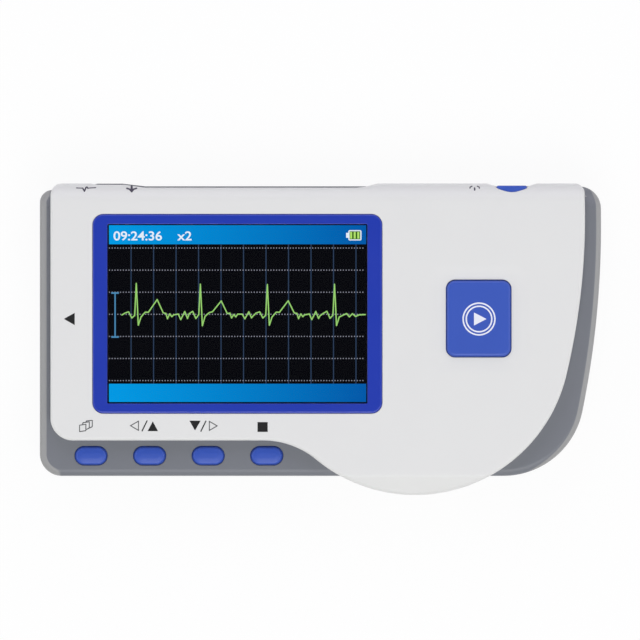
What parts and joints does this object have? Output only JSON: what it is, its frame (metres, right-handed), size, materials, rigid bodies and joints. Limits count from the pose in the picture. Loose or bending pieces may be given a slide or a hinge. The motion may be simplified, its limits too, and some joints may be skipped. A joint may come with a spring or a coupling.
{
  "type": "ecg home monitor",
  "caption": "Handheld heart monitor with a colour screen, a start button, soft keys, a power button in the top edge, finger electrodes and a sliding battery door.",
  "frame": {"origin": "centre of the back, on the surface that the monitor lies on", "axes": "+X along its length towards the grip, +Y towards the edge with the power button, +Z out of the screen"},
  "size_m": [0.125, 0.0694, 0.02],
  "materials": {
    "white_shell": "satin moulded plastic",
    "grey_shell": "fine-textured moulded plastic",
    "blue_frame": "satin coloured plastic",
    "blue_key": "satin coloured plastic",
    "clear_window": "clear gloss",
    "display": "dark display glass",
    "electrode_steel": "satin stainless",
    "contact_steel": "plated spring steel",
    "screw_steel": "plated",
    "board_green": "solder mask",
    "chip_black": "moulded",
    "ivory_plastic": "moulded",
    "switch_metal": "stamped sheet",
    "foam": "open foam",
    "flex_amber": "satin film",
    "cell_jacket": "printed jacket"
  },
  "bodies": {
    "case": {"rear_housing": "grey_shell", "middle_frame": "grey_shell", "front_cover": "white_shell", "screen_frame": "blue_frame", "screen_lens": "clear_window", "lcd_gasket": "foam", "lcd_panel": "display", "lcd_tray": "switch_metal", "lcd_flex": "flex_amber", "lcd_connector": "ivory_plastic", "start_switch": "switch_metal", "soft_key_switches": "switch_metal", "power_switch": "switch_metal", "main_board": "board_green", "processor_chip": "chip_black", "memory_chip": "chip_black", "analog_shield": "switch_metal", "crystal": "switch_metal", "buzzer": "chip_black", "data_socket": "switch_metal", "chest_electrode": "electrode_steel", "index_finger_electrode": "electrode_steel", "middle_finger_electrode": "electrode_steel", "electrode_contacts": "contact_steel", "battery_cell_1": "cell_jacket", "battery_cell_2": "cell_jacket", "bridge_contact": "contact_steel", "positive_contact": "contact_steel", "negative_contact": "contact_steel", "housing_screws": "screw_steel", "board_screws": "screw_steel"},
    "start_button": {"start_button": "blue_key", "start_actuator": "chip_black"},
    "menu_key": {"menu_key": "blue_key", "menu_actuator": "chip_black"},
    "left_up_key": {"left_up_key": "blue_key", "left_up_actuator": "chip_black"},
    "right_down_key": {"right_down_key": "blue_key", "right_down_actuator": "chip_black"},
    "stop_key": {"stop_key": "blue_key", "stop_actuator": "chip_black"},
    "power_button": {"power_button": "blue_key", "power_actuator": "chip_black"},
    "battery_door": {"battery_door": "grey_shell"}
  },
  "joints": [
    {"name": "start_button_press", "type": "slide", "parent": "case", "child": "start_button", "axis": [0, 0, -1], "range_m": [0, 0.0004], "stiffness_N_per_m": 1500, "springref_m": -0.0003},
    {"name": "menu_key_press", "type": "slide", "parent": "case", "child": "menu_key", "axis": [0, 0, -1], "range_m": [0, 0.0004], "stiffness_N_per_m": 1500, "springref_m": -0.0003},
    {"name": "left_up_key_press", "type": "slide", "parent": "case", "child": "left_up_key", "axis": [0, 0, -1], "range_m": [0, 0.0004], "stiffness_N_per_m": 1500, "springref_m": -0.0003},
    {"name": "right_down_key_press", "type": "slide", "parent": "case", "child": "right_down_key", "axis": [0, 0, -1], "range_m": [0, 0.0004], "stiffness_N_per_m": 1500, "springref_m": -0.0003},
    {"name": "stop_key_press", "type": "slide", "parent": "case", "child": "stop_key", "axis": [0, 0, -1], "range_m": [0, 0.0004], "stiffness_N_per_m": 1500, "springref_m": -0.0003},
    {"name": "power_button_press", "type": "slide", "parent": "case", "child": "power_button", "axis": [0, -1, 0], "range_m": [0, 0.0004], "stiffness_N_per_m": 1500, "springref_m": -0.0003},
    {"name": "battery_door_slide", "type": "slide", "parent": "case", "child": "battery_door", "axis": [-1, 0, 0], "range_m": [0, 0.053]}
  ]
}
